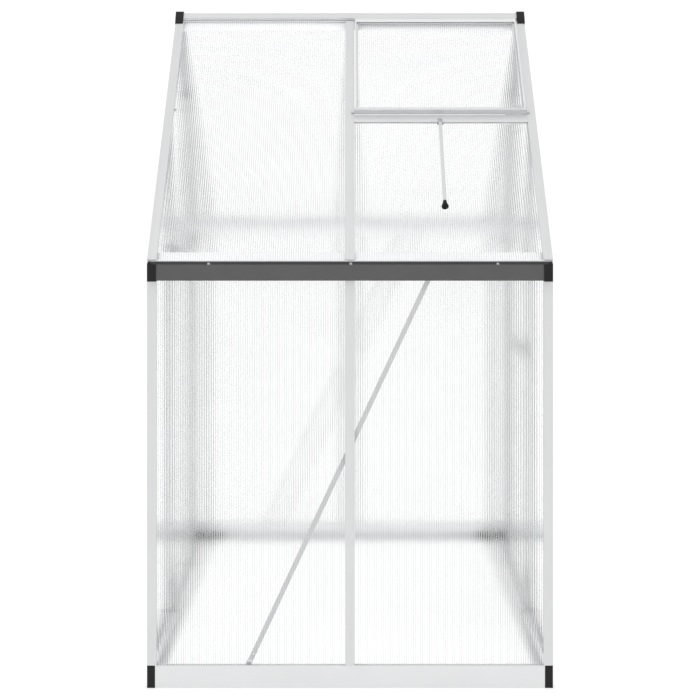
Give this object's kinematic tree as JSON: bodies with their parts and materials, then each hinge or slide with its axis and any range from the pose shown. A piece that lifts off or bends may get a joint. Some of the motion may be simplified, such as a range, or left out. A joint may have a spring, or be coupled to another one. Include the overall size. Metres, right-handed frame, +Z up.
{
  "type": "walk-in gable greenhouse",
  "caption": "Small walk-in gable greenhouse: aluminium profile frame with twin-wall sheet glazing, hinged gable door, propped roof vent and eaves gutters.",
  "frame": {"origin": "on the ground, at the centre of the footprint", "axes": "+X along the ridge towards the door gable, +Y towards the rear eaves, +Z up"},
  "size_m": [1.1759, 1.694, 1.948],
  "materials": {
    "frame_aluminium": "matt mill-finish extrusion",
    "sash_aluminium": "matt mill-finish extrusion",
    "brace_aluminium": "matt flat bar",
    "zinc_steel": "zinc plated",
    "black_plastic": "moulded, fine grain",
    "grey_pvc": "extruded PVC, satin",
    "polycarbonate": "clear twin-wall sheet with fine vertical ribs",
    "black_rubber": "ribbed rubber"
  },
  "bodies": {
    "frame": {"front_base_sill": "frame_aluminium", "rear_base_sill": "frame_aluminium", "left_base_sill": "frame_aluminium", "right_base_sill": "frame_aluminium", "base_corner_blocks": "black_plastic", "base_corner_brackets": "zinc_steel", "front_left_post": "frame_aluminium", "front_right_post": "frame_aluminium", "rear_left_post": "frame_aluminium", "rear_right_post": "frame_aluminium", "front_mullion": "frame_aluminium", "rear_mullion": "frame_aluminium", "left_gable_studs": "frame_aluminium", "door_hinge_stud": "frame_aluminium", "door_latch_stud": "frame_aluminium", "gable_rails": "frame_aluminium", "door_header": "frame_aluminium", "front_eave_beam": "frame_aluminium", "rear_eave_beam": "frame_aluminium", "front_gutter": "grey_pvc", "rear_gutter": "grey_pvc", "eave_end_caps": "black_plastic", "gutter_screws": "zinc_steel", "ridge_beam": "frame_aluminium", "ridge_end_caps": "black_plastic", "front_left_rafter": "frame_aluminium", "front_right_rafter": "frame_aluminium", "rear_left_rafter": "frame_aluminium", "rear_right_rafter": "frame_aluminium", "front_centre_rafter": "frame_aluminium", "rear_centre_rafter": "frame_aluminium", "vent_sill": "frame_aluminium", "stay_bracket": "zinc_steel", "stay_pivot_pin": "zinc_steel", "front_brace": "brace_aluminium", "rear_brace": "brace_aluminium", "gusset_plates": "zinc_steel", "frame_bolts": "zinc_steel", "frame_nuts": "zinc_steel", "front_wall_panes": "polycarbonate", "rear_wall_panes": "polycarbonate", "roof_panes": "polycarbonate", "left_gable_panes": "polycarbonate", "right_gable_panes": "polycarbonate", "hinge_frame_leaves": "zinc_steel", "hinge_pins": "zinc_steel", "turn_button_screw": "zinc_steel"},
    "door": {"door_stiles": "frame_aluminium", "door_rails": "frame_aluminium", "door_panes": "polycarbonate", "hinge_door_leaves": "zinc_steel", "door_handle": "black_plastic"},
    "vent_sash": {"sash_top_rail": "sash_aluminium", "sash_bottom_rail": "sash_aluminium", "sash_stiles": "sash_aluminium", "sash_pane": "polycarbonate", "sash_end_plugs": "sash_aluminium"},
    "vent_stay": {"stay_bar": "frame_aluminium", "stay_tip": "black_rubber"},
    "turn_button": {"turn_button": "black_plastic"}
  },
  "joints": [
    {"name": "door_swing", "type": "hinge", "parent": "frame", "child": "door", "pos_m": [0.578, 0.259, 0.845], "axis": [0, 0, 1], "range_deg": [0, 110]},
    {"name": "vent_lift", "type": "hinge", "parent": "frame", "child": "vent_sash", "pos_m": [0.276, -0.01952, 1.92352], "axis": [-1, 0, 0], "range_deg": [0, 44.5]},
    {"name": "stay_swing", "type": "hinge", "parent": "frame", "child": "vent_stay", "pos_m": [0.276, -0.40583, 1.5847], "axis": [-1, 0, 0], "range_deg": [0, 121.5]},
    {"name": "button_turn", "type": "hinge", "parent": "frame", "child": "turn_button", "pos_m": [0.572, -0.271, 1.09], "axis": [-1, 0, 0], "range_deg": [0, 90]}
  ]
}
